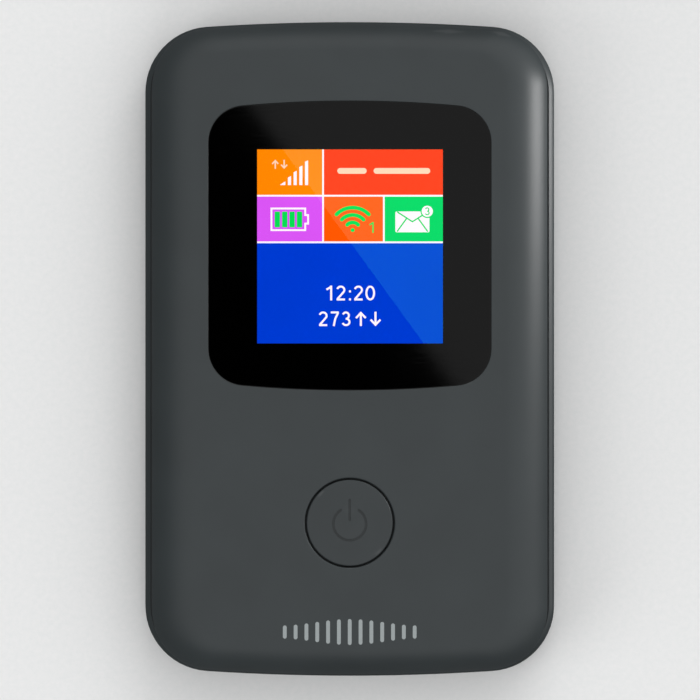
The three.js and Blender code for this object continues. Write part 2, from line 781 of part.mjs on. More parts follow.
// A folded leaf spring between the board and the antenna's tab.
function antennaClip() {
  const height = REAR_PARTS_Z - CARRIER.bottom;
  const sheet = 0.15;
  const foot = block(1.6, 1.8, sheet);
  const leaf = block(1.6, sheet, height);
  return join(
    solid(foot, 0, 0, 0),
    solid(leaf, 0, -0.9 + sheet / 2, 0),
    solid(foot, 0, 0, height - sheet),
  );
}

addPart(housingGroup, "antenna_carrier", antennaCarrier(), CONNECTOR_BLACK, 0, CARRIER.y, CARRIER.bottom);
addPart(housingGroup, "lte_antenna", lteAntenna(), GOLD, 0, CARRIER.y, CARRIER.bottom - FIT - 0.12);
for (const [name, side] of [
  ["lte_feed_clip", -1],
  ["lte_ground_clip", 1],
]) {
  addPart(
    housingGroup,
    name,
    antennaClip(),
    STEEL,
    side * 3,
    CARRIER.y - CARRIER.length / 2 - 1.6,
    CARRIER.bottom,
  );
}
addPart(housingGroup, "diversity_antenna", block(0.2, 30, 2.6), GOLD, -26, -12, 3.9);

// An inverted F stamped from sheet: a flat radiator on two legs.
function wifiAntenna() {
  const height = 3;
  const leg = block(1.2, 0.2, height);
  return join(
    solid(block(12, 3.4, 0.2)),
    solid(leg, -5.4, 1.6, 0),
    solid(leg, -2.2, 1.6, 0),
  );
}

addPart(housingGroup, "wifi_antenna", wifiAntenna(), STEEL, -14, 26, REAR_PARTS_Z - 3);

// ---------------------------------------------------------------- screws

// A round-headed screw with a cross recess, its head at z = 0 and its shank along +Z.
function screw({ radius, head, headHeight }, length) {
  const recess = headHeight / 2;
  const slot = block(head * 1.1, 0.35, recess + THROUGH);
  return cut(
    join(solid(disc(head, headHeight, 16)), solid(disc(radius, length, 12))),
    solid(slot, 0, 0, -THROUGH),
    solid(slot.clone().rotateZ(Math.PI / 2), 0, 0, -THROUGH),
  );
}

screwPlaces().forEach(([x, y], i) => {
  const bottom = HOUSING_SCREW_SEAT - HOUSING_SCREW.headHeight - FIT;
  const body = screw(HOUSING_SCREW, HOUSING_SCREW_TIP - bottom);
  addPart(housingGroup, `housing_screw_${i + 1}`, body, STEEL, x, y, bottom);
});
BOARD_SCREWS.forEach(([x, y], i) => {
  const bottom = BOARD_BOTTOM - BOARD_SCREW.headHeight - FIT;
  const body = screw(BOARD_SCREW, BOARD_SCREW.tip - bottom);
  addPart(housingGroup, `board_screw_${i + 1}`, body, STEEL, x, y, bottom);
});

export default hotspot;
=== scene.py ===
"""The looks of a pocket mobile hotspot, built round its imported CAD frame.

Metres. +X runs to the right of the display, +Y towards the top edge and +Z out of the display. Sizes in
the drawings are in millimetres, and MM turns them into metres.
"""

import json
import math

import bmesh
import bpy
from mathutils import Matrix, Vector


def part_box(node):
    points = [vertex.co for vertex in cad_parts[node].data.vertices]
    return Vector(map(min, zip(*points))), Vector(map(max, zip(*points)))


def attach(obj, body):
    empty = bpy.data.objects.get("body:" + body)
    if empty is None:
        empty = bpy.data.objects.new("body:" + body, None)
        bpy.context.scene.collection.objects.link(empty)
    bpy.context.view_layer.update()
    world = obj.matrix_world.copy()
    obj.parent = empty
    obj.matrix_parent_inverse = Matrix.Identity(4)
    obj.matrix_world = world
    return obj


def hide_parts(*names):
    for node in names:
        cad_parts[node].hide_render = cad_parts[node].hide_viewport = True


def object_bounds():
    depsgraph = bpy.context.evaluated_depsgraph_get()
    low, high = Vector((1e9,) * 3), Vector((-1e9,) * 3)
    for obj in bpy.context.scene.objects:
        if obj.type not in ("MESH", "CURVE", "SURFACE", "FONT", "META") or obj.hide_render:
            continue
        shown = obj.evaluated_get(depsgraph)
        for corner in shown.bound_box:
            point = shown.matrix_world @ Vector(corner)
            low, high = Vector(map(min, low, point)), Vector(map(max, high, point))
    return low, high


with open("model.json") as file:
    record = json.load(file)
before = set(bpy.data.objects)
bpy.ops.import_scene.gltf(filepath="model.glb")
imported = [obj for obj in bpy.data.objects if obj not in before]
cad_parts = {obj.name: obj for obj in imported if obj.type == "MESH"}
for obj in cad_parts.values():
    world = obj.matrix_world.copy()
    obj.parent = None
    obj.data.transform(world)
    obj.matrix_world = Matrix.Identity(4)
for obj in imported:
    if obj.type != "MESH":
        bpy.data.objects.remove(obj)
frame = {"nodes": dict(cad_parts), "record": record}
cad_low, cad_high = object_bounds()

MM = 0.001

# ------------------------------------------------------------------ sizes, from the frame where it has them

back_low, back_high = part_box("back_cover")
front_low, front_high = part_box("front_cover")
lens_low, lens_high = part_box("display_lens")
panel_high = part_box("lcd_panel")[1]
button_low, button_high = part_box("power_button")
usb_low, usb_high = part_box("usb_socket_shell")

WIDTH = (back_high.x - back_low.x) / MM
LENGTH = (back_high.y - back_low.y) / MM
TOP = front_high.z / MM
SEAM_LOW = back_high.z / MM
SEAM_HIGH = front_low.z / MM
LENS_CENTRE_Y = (lens_low.y + lens_high.y) / 2 / MM
BUTTON_CENTRE_Y = (button_low.y + button_high.y) / 2 / MM

CASE = {"width": WIDTH, "length": LENGTH, "corner": 9.6, "bow": 320.0}
LENS = {
    "width": (lens_high.x - lens_low.x) / MM,
    "length": (lens_high.y - lens_low.y) / MM,
    "corner": 5.4,
    "bow": 177.0,
}
FRONT = {
    "width": (front_high.x - front_low.x) / MM,
    "length": (front_high.y - front_low.y) / MM,
    "corner": 8.7,
    "bow": 320.0,
}
FRONT_ROLL = {"side": 6.3, "end": 3.9, "corner": 4.9}
FRONT_DROP = 3.5
FRONT_LEAN = math.radians(60)
FRONT_WALL = 1.3
FRONT_CEILING = TOP - 1.9
FRONT_EDGE = 0.15
LENS_GAP = 0.04
LENS_LIP = 0.05
LENS_POCKET_FLOOR = lens_low.z / MM - 0.25
BACK_ROLL = 4.2
BACK_DROP = 3.6
BACK_WALL = 1.2
RIM = {"width": 0.72, "radius": 2.63, "outer": math.radians(58), "inner": math.radians(35)}
GROOVE = 0.15
BUTTON_RADIUS = 6.32
BUTTON_HOLE = 6.57
BUTTON_FLANGE = 7.4
BUTTON_HOLE_LIP = 0.22
PICTURE = {"width": 27.22, "length": 28.44, "x": 0.04, "y": 15.03}
WINDOW = {"width": 29.4, "length": 30.6, "corner": 0.8}
FACE_RING = 0.25  # a ring this far inside the edge of a flat face keeps its shading flat
PRINT_DEPTH = 0.005  # how far a print reaches into its surface
PRINT_RISE = 0.01  # and how far it stands proud

# ------------------------------------------------------------------ lamps and camera

SKY_WAY = (0.38, 0.29, 0.84)
SKY_DIM = 0.13
SKY_BRIGHT = 0.85
SKY_HOLE = {"outer": math.radians(6), "inner": math.radians(2)}
LAMP_DISTANCE = 1.3
LAMP_SIZE = 0.9
LOW_LAMP_HEIGHT = 0.6
KEY = 1.7
FILL = 2.1
FRONT_FILL = 1.8
REAR_FILL = 1.3
EDGE = 15.0
EDGE_PLACE = (0.13, 0.038, 0.03)
EDGE_TARGET = (0.03, 0.038, 0.01)
EDGE_SIZE = (0.03, 0.06)
GLARE_UPPER = (-14.4, 35.65)  # the glare's slanting edge, where it meets the lens
GLARE_LOWER = (15.4, -5.43)
GLARE_RADIANCE = 0.36
FLOOR_HALF = 3.0

CAMERA_DISTANCE = 3.0
CAMERA_CENTRE = (0.04, -0.16)
CAMERA_HEIGHT = cad_high.z * 0.6 + CAMERA_DISTANCE
SENSOR = 36
VIEW_WIDTH = 102.8


# ------------------------------------------------------------------ outlines


def arc(cx, cy, radius, start, end, steps):
    """Points along an arc, both ends included."""
    return [
        (cx + radius * math.cos(a), cy + radius * math.sin(a))
        for a in (start + (end - start) * i / steps for i in range(steps + 1))
    ]


def bowed(shape, inset=0.0):
    """Straight sides, bowed ends and round corners, moved in by inset."""
    corner_steps, bow_steps = 14, 28
    centre = shape["length"] / 2 - shape["bow"]
    x = shape["width"] / 2 - shape["corner"]
    y = centre + math.sqrt((shape["bow"] - shape["corner"]) ** 2 - x**2)
    turn = math.atan2(y - centre, x)
    small = shape["corner"] - inset
    large = shape["bow"] - inset
    pi = math.pi
    return (
        arc(x, y, small, 0, turn, corner_steps)
        + arc(0, centre, large, turn, pi - turn, bow_steps)[1:-1]
        + arc(-x, y, small, pi - turn, pi, corner_steps)
        + arc(-x, -y, small, pi, pi + turn, corner_steps)
        + arc(0, -centre, large, pi + turn, 2 * pi - turn, bow_steps)[1:-1]
        + arc(x, -y, small, -turn, 0, corner_steps)
    )


def rounded(width, length, radius, cx=0.0, cy=0.0, steps=8):
    """A rectangle with round corners."""
    x, y = width / 2 - radius, length / 2 - radius
    points = []
    for quarter, (sx, sy) in enumerate([(1, 1), (-1, 1), (-1, -1), (1, -1)]):
        start = quarter * math.pi / 2
        points += arc(cx + sx * x, cy + sy * y, radius, start, start + math.pi / 2, steps)
    return points


def circle(radius, cx=0.0, cy=0.0, steps=96):
    return arc(cx, cy, radius, 0, 2 * math.pi, steps)[:-1]


def arc_stroke(cx, cy, radius, start, end, width, steps=40):
    """A stroke of even width along an arc, with round ends."""
    half = width / 2
    outer = arc(cx, cy, radius + half, start, end, steps)
    inner = arc(cx, cy, radius - half, end, start, steps)
    ex, ey = cx + radius * math.cos(end), cy + radius * math.sin(end)
    sx, sy = cx + radius * math.cos(start), cy + radius * math.sin(start)
    far = arc(ex, ey, half, end, end + math.pi, 8)[1:-1]
    near = arc(sx, sy, half, start + math.pi, start + 2 * math.pi, 8)[1:-1]
    return outer + far + inner + near


# ------------------------------------------------------------------ meshes


def new_object(name, mesh):
    piece = bpy.data.objects.new(name, mesh)
    bpy.context.scene.collection.objects.link(piece)
    return piece


def finished(name, bm):
    """The bmesh as a new object."""
    mesh = bpy.data.meshes.new(name)
    bm.to_mesh(mesh)
    bm.free()
    return new_object(name, mesh)


def sheet(name, corners, height):
    """One flat face, in metres, for the floor and the reflector."""
    bm = bmesh.new()
    bm.faces.new([bm.verts.new((x, y, height)) for x, y in corners])
    return finished(name, bm)


def loft(name, layers):
    """A closed solid through layers of (points, height), each with the same number of points."""
    bm = bmesh.new()
    rings = [[bm.verts.new((x * MM, y * MM, z * MM)) for x, y in points] for points, z in layers]
    count = len(rings[0])
    for low, high in zip(rings, rings[1:]):
        for i in range(count):
            j = (i + 1) % count
            bm.faces.new((low[i], low[j], high[j], high[i]))
    bm.faces.new(rings[0])
    bm.faces.new(rings[-1])
    bmesh.ops.recalc_face_normals(bm, faces=bm.faces)
    return finished(name, bm)


def flat_mesh(name, loops, low, high):
    """A flat solid of even thickness; a loop inside another one is a hole."""
    curve = bpy.data.curves.new(name, "CURVE")
    curve.dimensions = "2D"
    curve.fill_mode = "BOTH"
    curve.extrude = (high - low) / 2 * MM
    for loop in loops:
        spline = curve.splines.new("POLY")
        spline.points.add(len(loop) - 1)
        for point, (x, y) in zip(spline.points, loop):
            point.co = (x * MM, y * MM, 0, 1)
        spline.use_cyclic_u = True
    return curve_to_piece(name, curve, (low + high) / 2)


def evaluated_mesh(thing):
    """A new mesh of the object as its modifiers or curve settings make it."""
    bpy.context.view_layer.update()
    evaluated = thing.evaluated_get(bpy.context.evaluated_depsgraph_get())
    return bpy.data.meshes.new_from_object(evaluated)


def curve_to_piece(name, curve, height):
    """The curve's solid as a mesh piece, its middle at that height."""
    holder = new_object(name + "_curve", curve)
    mesh = evaluated_mesh(holder)
    bpy.data.objects.remove(holder)
    bm = bmesh.new()
    bm.from_mesh(mesh)
    bmesh.ops.remove_doubles(bm, verts=bm.verts, dist=1e-7)
    bmesh.ops.translate(bm, verts=bm.verts, vec=(0, 0, height * MM))
    bmesh.ops.recalc_face_normals(bm, faces=bm.faces)
    bm.to_mesh(mesh)
    bm.free()
    mesh.name = name
    return new_object(name, mesh)


def stroke_sides(path, width):
    """The two sides of an even stroke along an open path, with mitred corners."""
    ways = [Vector((b[0] - a[0], b[1] - a[1])).normalized() for a, b in zip(path, path[1:])]
    left, right = [], []
    for i, (x, y) in enumerate(path):
        before = ways[max(i - 1, 0)]
        after = ways[min(i, len(ways) - 1)]
        along = (before + after).normalized()
        reach = width / 2 / max(along.dot(before), 0.5)
        left.append((x - along.y * reach, y + along.x * reach))
        right.append((x + along.y * reach, y - along.x * reach))
    return left, right


def ribbons(name, paths, width, low, high):
    """Flat strokes of even width along open paths, in one mesh."""
    bm = bmesh.new()
    for path in paths:
        left, right = stroke_sides(path, width)
        rows = [
            [bm.verts.new((x * MM, y * MM, z * MM)) for x, y in side]
            for side, z in ((left, low), (right, low), (right, high), (left, high))
        ]
        for row, following in zip(rows, rows[1:] + rows[:1]):
            for i in range(len(path) - 1):
                bm.faces.new((row[i], row[i + 1], following[i + 1], following[i]))
        bm.faces.new([row[0] for row in rows])
        bm.faces.new([row[-1] for row in rows])
    bmesh.ops.recalc_face_normals(bm, faces=bm.faces)
    return finished(name, bm)


def carve(piece, *cutters):
    """Cuts the cutters out of the piece and removes them."""
    for cutter in cutters:
        modifier = piece.modifiers.new("carve", "BOOLEAN")
        modifier.operation = "DIFFERENCE"
        modifier.solver = "EXACT"
        modifier.object = cutter
    mesh = evaluated_mesh(piece)
    piece.modifiers.clear()
    old = piece.data
    piece.data = mesh
    bpy.data.meshes.remove(old)
    for cutter in cutters:
        bpy.data.objects.remove(cutter)


def smooth(piece, degrees=32):
    """Smooth shading with sharp edges, where large flat faces keep their own direction."""
    piece.data.shade_smooth()
    piece.data.set_sharp_from_angle(angle=math.radians(degrees))
    weighted = piece.modifiers.new("weighted_normals", "WEIGHTED_NORMAL")
    weighted.keep_sharp = True


def quarter_round(radius, top, steps):
    """Steps of (distance in, height) from a vertical wall over a round edge to a flat face at top."""
    turns = [math.pi / 2 * i / steps for i in range(steps + 1)]
    return [(radius * (1 - math.cos(a)), top - radius + radius * math.sin(a)) for a in turns]


def pocket(name, outline, floor, top, lip):
    """A cutter whose mouth flares by lip at the surface, so that the edge it leaves is rounded.

    outline is a function that gives the outline moved out by a distance. The mouth ends in a collar that
    rises through the surface at a hair's slope, so that shading along the edge stays beside it."""
    collar, rise = 0.6, 0.004
    mouth = top - rise / 2
    layers = [(outline(0.0), floor)]
    layers += [(outline(inset), z) for inset, z in quarter_round(lip, mouth, 5)]
    layers.append((outline(lip + collar), mouth + rise))
    layers.append((outline(lip + collar), top + 1.0))
    return loft(name, layers)


# ------------------------------------------------------------------ materials


class Material:
    """A node material whose texture coordinates are the piece's own, in millimetres."""

    def __init__(self, name):
        self.material = bpy.data.materials.new(name)
        self.material.use_nodes = True
        self.nodes = self.material.node_tree.nodes
        self.links = self.material.node_tree.links
        self.shader = self.nodes["Principled BSDF"]
        coordinates = self.nodes.new("ShaderNodeTexCoord")
        scale = self.nodes.new("ShaderNodeVectorMath")
        scale.operation = "SCALE"
        scale.inputs["Scale"].default_value = 1 / MM
        self.links.new(coordinates.outputs["Object"], scale.inputs[0])
        self.place = scale.outputs[0]

    def set(self, **values):
        for name, value in values.items():
            self.shader.inputs[name.replace("_", " ")].default_value = value

    def noise(self, size, detail=2.0, roughness=0.5, stretch=None):
        """Noise whose features are about size millimetres across, from 0 to 1."""
        node = self.nodes.new("ShaderNodeTexNoise")
        node.inputs["Scale"].default_value = 1 / size
        node.inputs["Detail"].default_value = detail
        node.inputs["Roughness"].default_value = roughness
        place = self.place
        if stretch:
            stretched = self.nodes.new("ShaderNodeVectorMath")
            stretched.operation = "MULTIPLY"
            stretched.inputs[1].default_value = stretch
            self.links.new(place, stretched.inputs[0])
            place = stretched.outputs[0]
        self.links.new(place, node.inputs["Vector"])
        return node.outputs["Fac"]

    def spread(self, value, low, high, source_low=0.3, source_high=0.7):
        """The value moved from its source range to low..high."""
        node = self.nodes.new("ShaderNodeMapRange")
        node.inputs["From Min"].default_value = source_low
        node.inputs["From Max"].default_value = source_high
        node.inputs["To Min"].default_value = low
        node.inputs["To Max"].default_value = high
        self.links.new(value, node.inputs["Value"])
        return node.outputs["Result"]

    def blend(self, factor, first, second):
        """A colour between first and second."""
        node = self.nodes.new("ShaderNodeMix")
        node.data_type = "RGBA"
        self.links.new(factor, node.inputs["Factor"])
        for socket, colour in ((node.inputs[6], first), (node.inputs[7], second)):
            if isinstance(colour, tuple):
                socket.default_value = (*colour, 1)
            else:
                self.links.new(colour, socket)
        return node.outputs[2]

    def edges(self):
        """Near 1 on convex edges and 0 elsewhere."""
        geometry = self.nodes.new("ShaderNodeNewGeometry")
        return self.spread(geometry.outputs["Pointiness"], 0, 1, 0.53, 0.62)

    def bump(self, *layers):
        """Layers of (height from 0 to 1, depth in millimetres), the coarsest first."""
        normal = None
        for height, depth in layers:
            node = self.nodes.new("ShaderNodeBump")
            node.inputs["Strength"].default_value = 1
            node.inputs["Distance"].default_value = depth * MM
            self.links.new(height, node.inputs["Height"])
            if normal:
                self.links.new(normal, node.inputs["Normal"])
            normal = node.outputs["Normal"]
        self.links.new(normal, self.shader.inputs["Normal"])

    def feed(self, name, value):
        self.links.new(value, self.shader.inputs[name])


def plastic(name, colour, roughness, grain=0.12, depth=0.002, wear=0.25):
    """Moulded plastic: spark-eroded grain, faint cloudiness, and edges rubbed lighter."""
    m = Material(name)
    cloud = m.noise(9, 3)
    fine = m.noise(grain, 2, 0.6)
    dark = tuple(c * 0.94 for c in colour)
    light = tuple(min(1, c * 1.06) for c in colour)
    rubbed = tuple(min(1, c + wear * 0.06) for c in colour)
    body = m.blend(m.spread(cloud, 0, 1), dark, light)
    m.feed("Base Color", m.blend(m.edges(), body, rubbed))
    m.feed("Roughness", m.spread(fine, roughness - 0.03, roughness + 0.03))
    m.bump((cloud, 0.004), (fine, depth))
    return m.material


def metal(name, colour, roughness):
    """Plated sheet: rolling marks along one way and slight tarnish."""
    m = Material(name)
    marks = m.noise(0.25, 3, 0.6, (1, 12, 12))
    tarnish = m.noise(2.5, 4, 0.6)
    dull = tuple(c * 0.8 for c in colour)
    m.feed("Base Color", m.blend(m.spread(tarnish, 0, 1), dull, colour))
    m.feed("Roughness", m.spread(marks, roughness - 0.06, roughness + 0.1))
    m.set(Metallic=1.0)
    m.bump((marks, 0.0015))
    return m.material


def soft(name, colour, grain, depth):
    """Foam, rubber or tape: matt, with open pores."""
    m = Material(name)
    pores = m.noise(grain, 4, 0.7)
    m.feed("Base Color", m.blend(m.spread(pores, 0, 1), tuple(c * 0.6 for c in colour), colour))
    m.feed("Roughness", m.spread(pores, 0.8, 0.95))
    m.bump((pores, depth))
    return m.material


def polished(name, colour, roughness=0.02):
    """A glossy moulding or coating with hairline scratches and a little dust."""
    m = Material(name)
    hairs = m.noise(0.35, 2, 0.5, (0.12, 6, 1))
    dust = m.noise(1.4, 5, 0.7)
    dusty = tuple(c + 0.0003 for c in colour)
    m.feed("Base Color", m.blend(m.spread(dust, 0, 1, 0.5, 0.95), colour, dusty))
    m.feed("Roughness", m.spread(hairs, roughness, roughness + 0.03, 0.5, 0.9))
    return m.material


def linear(red, green, blue):
    """A display or ink colour, given as its 0 to 255 values, as light."""
    return tuple(
        c / 12.92 if c <= 0.04045 else ((c + 0.055) / 1.055) ** 2.4
        for c in (red / 255, green / 255, blue / 255)
    )


def light(name, *display_colour):
    """A lit area of the display, with the slight unevenness of its backlight."""
    m = Material(name)
    glow = m.noise(14, 2)
    colour = linear(*display_colour)
    dim = tuple(c * 0.94 for c in colour)
    m.set(Base_Color=(0.0005, 0.0005, 0.0005, 1), Roughness=0.4, Specular_IOR_Level=0.0)
    m.feed("Emission Color", m.blend(m.spread(glow, 0, 1), dim, colour))
    m.set(Emission_Strength=1.1)
    return m.material


def clear(name):
    """The clear window of the lens, whose coating mirrors a little more green and blue than red."""
    m = Material(name)
    hairs = m.noise(0.35, 2, 0.5, (0.12, 6, 1))
    m.set(Base_Color=(1, 1, 1, 1), Transmission_Weight=1.0, IOR=1.66, Specular_Tint=(0.08, 1, 0.4, 1))
    m.feed("Roughness", m.spread(hairs, 0.0, 0.01, 0.5, 0.9))
    return m.material


def circuit_board(name):
    """Solder mask over copper tracks."""
    m = Material(name)
    tracks = m.nodes.new("ShaderNodeTexBrick")
    tracks.inputs["Scale"].default_value = 0.9
    tracks.inputs["Mortar Size"].default_value = 0.04
    tracks.inputs["Color1"].default_value = (1, 1, 1, 1)
    tracks.inputs["Color2"].default_value = (0.9, 0.9, 0.9, 1)
    tracks.inputs["Mortar"].default_value = (0, 0, 0, 1)
    m.links.new(m.place, tracks.inputs["Vector"])
    weave = m.noise(0.5, 3)
    colour = m.blend(tracks.outputs["Fac"], (0.008, 0.07, 0.03), (0.02, 0.12, 0.05))
    m.feed("Base Color", colour)
    m.feed("Roughness", m.spread(weave, 0.25, 0.4))
    m.set(Coat_Weight=0.3, Coat_Roughness=0.15)
    m.bump((weave, 0.004), (tracks.outputs["Fac"], 0.02))
    return m.material


SHELL = plastic("shell_plastic", (0.0236, 0.0296, 0.0316), 0.42)
BUTTON = plastic("button_plastic", (0.0226, 0.028, 0.03), 0.42)
# The power symbol's recess floor: the button's plastic made darker, painted shade in the recess.
SYMBOL_SHADE = plastic("symbol_painted_shade", (0.0175, 0.0215, 0.023), 0.5, wear=0)
HOUSING = plastic("housing_plastic", (0.016, 0.017, 0.018), 0.55, grain=0.2, depth=0.004)
BLACK = plastic("black_nylon", (0.012, 0.012, 0.013), 0.5, grain=0.2, depth=0.003)
WHITE = plastic("natural_nylon", (0.62, 0.6, 0.52), 0.45)
BACKLIGHT = plastic("backlight_white", (0.75, 0.76, 0.78), 0.35)
CHIP = plastic("chip_epoxy", (0.012, 0.012, 0.014), 0.5, grain=0.08, depth=0.004)
CARD = plastic("card_plastic", (0.8, 0.8, 0.78), 0.35, grain=0.3, depth=0.001)
FLEX = plastic("flex_film", (0.35, 0.14, 0.02), 0.25, grain=0.6, depth=0.001)
INK = plastic("printed_ink", linear(138, 145, 146), 0.45, grain=0.1, depth=0.001)
LENS_BLACK = polished("lens_black", (0.0001, 0.0001, 0.0001))
PANE_EDGE = soft("pane_edge_paint", (0.001, 0.001, 0.001), 0.3, 0.001)
MASK = polished("display_mask", (0.0005, 0.0005, 0.0006), 0.1)
WINDOW_CLEAR = clear("window_clear")
TAPE = soft("tape_black", (0.02, 0.02, 0.02), 0.15, 0.004)
FOAM = soft("foam_black", (0.03, 0.03, 0.032), 0.3, 0.03)
SILICONE = soft("silicone_blue", (0.3, 0.42, 0.55), 0.8, 0.01)
BOARD = circuit_board("board_green")
TIN = metal("tinned_sheet", (0.62, 0.63, 0.64), 0.32)
STEEL = metal("plated_steel", (0.5, 0.51, 0.52), 0.28)
GOLD = metal("gold_plate", (0.9, 0.62, 0.25), 0.22)
WRAP = plastic("cell_wrap", (0.03, 0.032, 0.036), 0.3, grain=0.5, depth=0.003)
ORANGE = light("lit_orange", 251, 139, 2)
SCARLET = light("lit_scarlet", 252, 42, 2)
PURPLE = light("lit_purple", 213, 87, 243)
AMBER = light("lit_amber", 250, 90, 2)
GREEN = light("lit_green", 3, 218, 98)
BLUE = light("lit_blue", 0, 60, 209)
LIT_WHITE = light("lit_white", 252, 252, 252)
LEAF = light("lit_leaf", 6, 226, 82)
CREAM = light("lit_cream", 253, 222, 184)

NODE_MATERIALS = {
    "shell": SHELL,
    "housing_plastic": HOUSING,
    "lens": LENS_BLACK,
    "tape": TAPE,
    "foam": FOAM,
    "panel_glass": MASK,
    "backlight": BACKLIGHT,
    "flex": FLEX,
    "white_plastic": WHITE,
    "black_plastic": BLACK,
    "board": BOARD,
    "shield": TIN,
    "chip": CHIP,
    "silicone": SILICONE,
    "gold": GOLD,
    "steel": STEEL,
    "cell": WRAP,
    "card": CARD,
}


# ------------------------------------------------------------------ CAD nodes that stay


def finish_cad_nodes():
    """Each CAD node gets its slot's material, and its hard edges a small round."""
    slots = {row["node"]: row["material_slot"] for row in frame["record"]["subparts"]}
    for name, node in frame["nodes"].items():
        node.data.materials.clear()
        node.data.materials.append(NODE_MATERIALS[slots[name]])
        low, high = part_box(name)
        thinnest = min(high - low)
        weld = node.modifiers.new("weld", "WELD")
        weld.merge_threshold = 1e-6
        bevel = node.modifiers.new("round", "BEVEL")
        bevel.width = min(0.12 * MM, thinnest * 0.12)
        bevel.segments = 2
        bevel.limit_method = "ANGLE"
        bevel.angle_limit = math.radians(35)
        smooth(node, 35)


def dress(piece, material, body, slot, *nodes):
    """Gives a new piece its material and body, and hides the CAD nodes that it stands for; slot is not
    used.
    """
    piece.data.materials.clear()
    piece.data.materials.append(material)
    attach(piece, body)
    if nodes:
        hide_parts(*nodes)


# ------------------------------------------------------------------ front cover


def between(first, second, share):
    """The outline that share of the way from the first to the second."""
    return [
        (x0 + (x1 - x0) * share, y0 + (y1 - y0) * share)
        for (x0, y0), (x1, y1) in zip(first, second)
    ]


def fillet(shape, inset, height, lean):
    """Layers round the top of a vertical wall, from upright until the surface leans by that angle."""
    radius, steps = 0.3, 4
    layers = []
    for i in range(steps):
        tilt = math.pi / 2 + (lean - math.pi / 2) * i / steps
        moved = inset - radius * (math.sin(tilt) - math.sin(lean))
        layers.append((bowed(shape, moved), height + radius * (math.cos(tilt) - math.cos(lean))))
    return layers


def rolled(wall, drop, top, steps=20):
    """Layers from the front's side wall up over its elliptical roll to the face at top.

    The roll is wider along the sides than at the ends, and the last layer is a support ring."""
    face = dict(
        FRONT,
        width=FRONT["width"] - 2 * FRONT_ROLL["side"],
        length=FRONT["length"] - 2 * FRONT_ROLL["end"],
        corner=FRONT_ROLL["corner"],
    )
    outer, inner = bowed(FRONT, wall), bowed(face)
    layers = []
    for i in range(steps + 1):
        angle = FRONT_LEAN * (1 - i / steps)
        share = 1 - math.sin(angle) / math.sin(FRONT_LEAN)
        height = top - drop * (1 - math.cos(angle)) / (1 - math.cos(FRONT_LEAN))
        layers.append((between(outer, inner, share), height))
    layers.append((bowed(face, FACE_RING), top))
    return layers


def usb_cutter(name, low, high):
    """A rounded slot through the lower edge for the data socket."""
    half_way = (usb_low.x + usb_high.x) / 2 / MM
    margin, corner, reach = 0.6, 0.7, 4.0
    width = (usb_high.x - usb_low.x) / MM + 2 * margin
    outline = rounded(width, high - low, corner, half_way, 0)
    cutter = loft(name, [(outline, -reach), (outline, reach)])
    middle = Vector((0, -LENGTH / 2, (low + high) / 2)) * MM
    cutter.data.transform(Matrix.Translation(middle) @ Matrix.Rotation(math.pi / 2, 4, "X"))
    return cutter


def front_cover():
    """The soft-edged front, hollow behind, with its lens pocket, window and button hole."""
    wall = [
        (bowed(FRONT, FRONT_EDGE), SEAM_HIGH),
        (bowed(FRONT, FRONT_EDGE * 0.3), SEAM_HIGH + FRONT_EDGE * 0.3),
        (bowed(FRONT), SEAM_HIGH + FRONT_EDGE),
    ]
    draft = 0.05
    wall += fillet(FRONT, draft, TOP - FRONT_DROP, math.radians(62))
    cover = loft("front_cover_shell", wall + rolled(draft, FRONT_DROP, TOP))
    below = (bowed(FRONT, FRONT_WALL), SEAM_HIGH - 1)
    cavity = loft("cavity", [below] + rolled(FRONT_WALL, FRONT_DROP - 1.1, FRONT_CEILING, 8))

    def lens_outline(grow):
        return [(x, y + LENS_CENTRE_Y) for x, y in bowed(LENS, -LENS_GAP - grow)]

    def hole_outline(grow):
        return circle(BUTTON_HOLE + grow, 0, BUTTON_CENTRE_Y)

    lens_pocket = pocket("lens_pocket", lens_outline, LENS_POCKET_FLOOR, TOP, LENS_LIP)
    window = loft(
        "window",
        [
            (rounded(WINDOW["width"], WINDOW["length"], WINDOW["corner"], 0, PICTURE["y"]), z)
            for z in (FRONT_CEILING - 1, TOP)
        ],
    )
    button_hole = pocket("button_hole", hole_outline, FRONT_CEILING - 1, TOP, BUTTON_HOLE_LIP)
    carve(cover, cavity, lens_pocket, window, button_hole, usb_cutter("port", 3.0, SEAM_LOW + 2.65))
    smooth(cover)
    dress(cover, SHELL, "housing", "shell", "front_cover")


# ------------------------------------------------------------------ back cover


